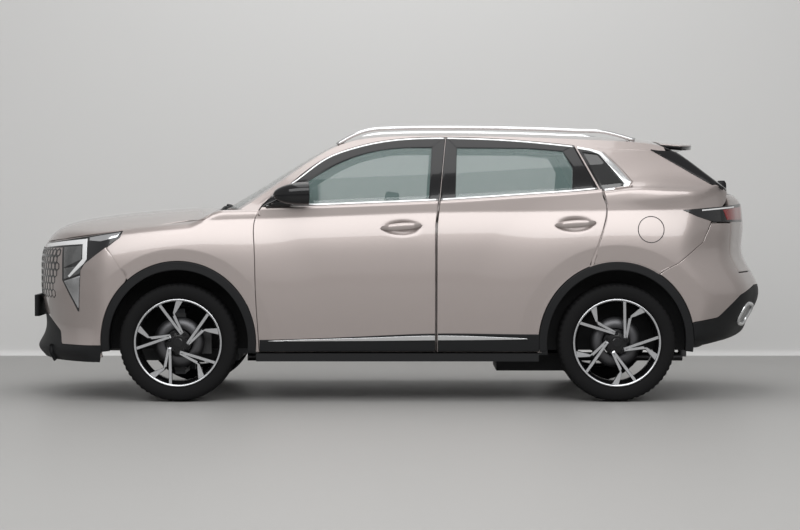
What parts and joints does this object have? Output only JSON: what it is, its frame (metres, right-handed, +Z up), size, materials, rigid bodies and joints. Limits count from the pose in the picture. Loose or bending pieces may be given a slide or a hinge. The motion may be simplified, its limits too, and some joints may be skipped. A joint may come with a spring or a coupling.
{
  "type": "crossover car",
  "caption": "Five-door crossover car with opening doors, bonnet and tailgate, steered front wheels, hollow cabin, roof rails and black wheel arch trims.",
  "frame": {"origin": "on the ground at the middle of the bounding box", "axes": "+X towards the rear, +Y towards the car's right side, +Z up"},
  "size_m": [4.6162, 2.116, 1.6907],
  "materials": {
    "paint": "champagne grey metallic clearcoat",
    "clear_glass": "pale green tinted",
    "dark_glass": "dark tinted",
    "lamp": "clear lens over a dark housing",
    "red_lamp": "red and smoked lens",
    "black_plastic": "grained",
    "black_gloss": "gloss",
    "tyre": "rubber",
    "rim": "black with machined faces",
    "silver": "satin",
    "steel": "coated",
    "iron": "cast",
    "seat_cloth": "woven"
  },
  "bodies": {
    "body": {"body_sides": "paint", "roof_panel": "paint", "fixed_windows": "clear_glass", "headlamps": "lamp", "front_fenders": "paint", "cowl_panel": "black_plastic", "front_lower_trim": "black_plastic", "front_bumper": "paint", "rear_lower_trim": "black_plastic", "rear_bumper": "paint", "tail_lamps": "red_lamp", "wheel_arch_trims": "black_plastic", "front_subframe": "steel", "rear_axle": "steel", "floor_pan": "steel", "sill_trims": "black_plastic", "wheel_arch_liners": "black_plastic", "engine_block": "iron", "fuel_tank": "black_plastic", "exhaust": "steel", "seats": "seat_cloth", "dashboard": "black_plastic", "roof_rails": "silver", "plate_holder": "black_plastic"},
    "bonnet": {"bonnet": "paint"},
    "tailgate": {"tailgate": "paint", "rear_window": "dark_glass"},
    "steering_wheel": {"steering_wheel": "black_gloss"},
    "front_door_left": {"front_door_left": "paint", "front_door_window_left": "clear_glass", "mirror_left": "black_gloss"},
    "rear_door_left": {"rear_door_left": "paint", "rear_door_window_left": "dark_glass"},
    "knuckle_left": {"knuckle_left": "iron"},
    "front_door_right": {"front_door_right": "paint", "front_door_window_right": "clear_glass", "mirror_right": "black_gloss"},
    "rear_door_right": {"rear_door_right": "paint", "rear_door_window_right": "dark_glass"},
    "knuckle_right": {"knuckle_right": "iron"},
    "wheel_front_left": {"tyre_front_left": "tyre", "rim_front_left": "rim"},
    "wheel_front_right": {"tyre_front_right": "tyre", "rim_front_right": "rim"},
    "wheel_rear_left": {"tyre_rear_left": "tyre", "rim_rear_left": "rim"},
    "wheel_rear_right": {"tyre_rear_right": "tyre", "rim_rear_right": "rim"}
  },
  "joints": [
    {"name": "front_door_left_hinge", "type": "hinge", "parent": "body", "child": "front_door_left", "pos_m": [-0.872, -0.93, 0.75], "axis": [0, 0, -1], "range_deg": [0, 65]},
    {"name": "rear_door_left_hinge", "type": "hinge", "parent": "body", "child": "rear_door_left", "pos_m": [0.242, -0.93, 0.75], "axis": [0, 0, -1], "range_deg": [0, 68]},
    {"name": "front_door_right_hinge", "type": "hinge", "parent": "body", "child": "front_door_right", "pos_m": [-0.872, 0.93, 0.75], "axis": [0, 0, 1], "range_deg": [0, 65]},
    {"name": "rear_door_right_hinge", "type": "hinge", "parent": "body", "child": "rear_door_right", "pos_m": [0.242, 0.93, 0.75], "axis": [0, 0, 1], "range_deg": [0, 68]},
    {"name": "bonnet_hinge", "type": "hinge", "parent": "body", "child": "bonnet", "pos_m": [-1.112, 0, 1.175], "axis": [0, 1, 0], "range_deg": [0, 50]},
    {"name": "tailgate_hinge", "type": "hinge", "parent": "body", "child": "tailgate", "pos_m": [1.635, 0, 1.6], "axis": [0, -1, 0], "range_deg": [0, 75]},
    {"name": "steer_left", "type": "hinge", "parent": "body", "child": "knuckle_left", "pos_m": [-1.335, -0.735, 0.36], "axis": [0, 0, 1], "range_deg": [-35, 35]},
    {"name": "steer_right", "type": "hinge", "parent": "body", "child": "knuckle_right", "pos_m": [-1.335, 0.735, 0.36], "axis": [0, 0, 1], "range_deg": [-35, 35]},
    {"name": "steering_wheel_turn", "type": "hinge", "parent": "body", "child": "steering_wheel", "pos_m": [-0.395, -0.37, 0.985], "axis": [0.9063, 0, 0.4226], "range_deg": [-490, 490]},
    {"name": "wheel_front_left_spin", "type": "hinge", "parent": "knuckle_left", "child": "wheel_front_left", "pos_m": [-1.335, -0.8, 0.36], "axis": [0, 1, 0], "continuous": true},
    {"name": "wheel_front_right_spin", "type": "hinge", "parent": "knuckle_right", "child": "wheel_front_right", "pos_m": [-1.335, 0.8, 0.36], "axis": [0, 1, 0], "continuous": true},
    {"name": "wheel_rear_left_spin", "type": "hinge", "parent": "body", "child": "wheel_rear_left", "pos_m": [1.335, -0.8, 0.36], "axis": [0, 1, 0], "continuous": true},
    {"name": "wheel_rear_right_spin", "type": "hinge", "parent": "body", "child": "wheel_rear_right", "pos_m": [1.335, 0.8, 0.36], "axis": [0, 1, 0], "continuous": true}
  ],
  "couplings": [
    {"joint": "steer_right", "follows": "steer_left", "ratio": 1},
    {"joint": "steering_wheel_turn", "follows": "steer_left", "ratio": 14}
  ]
}
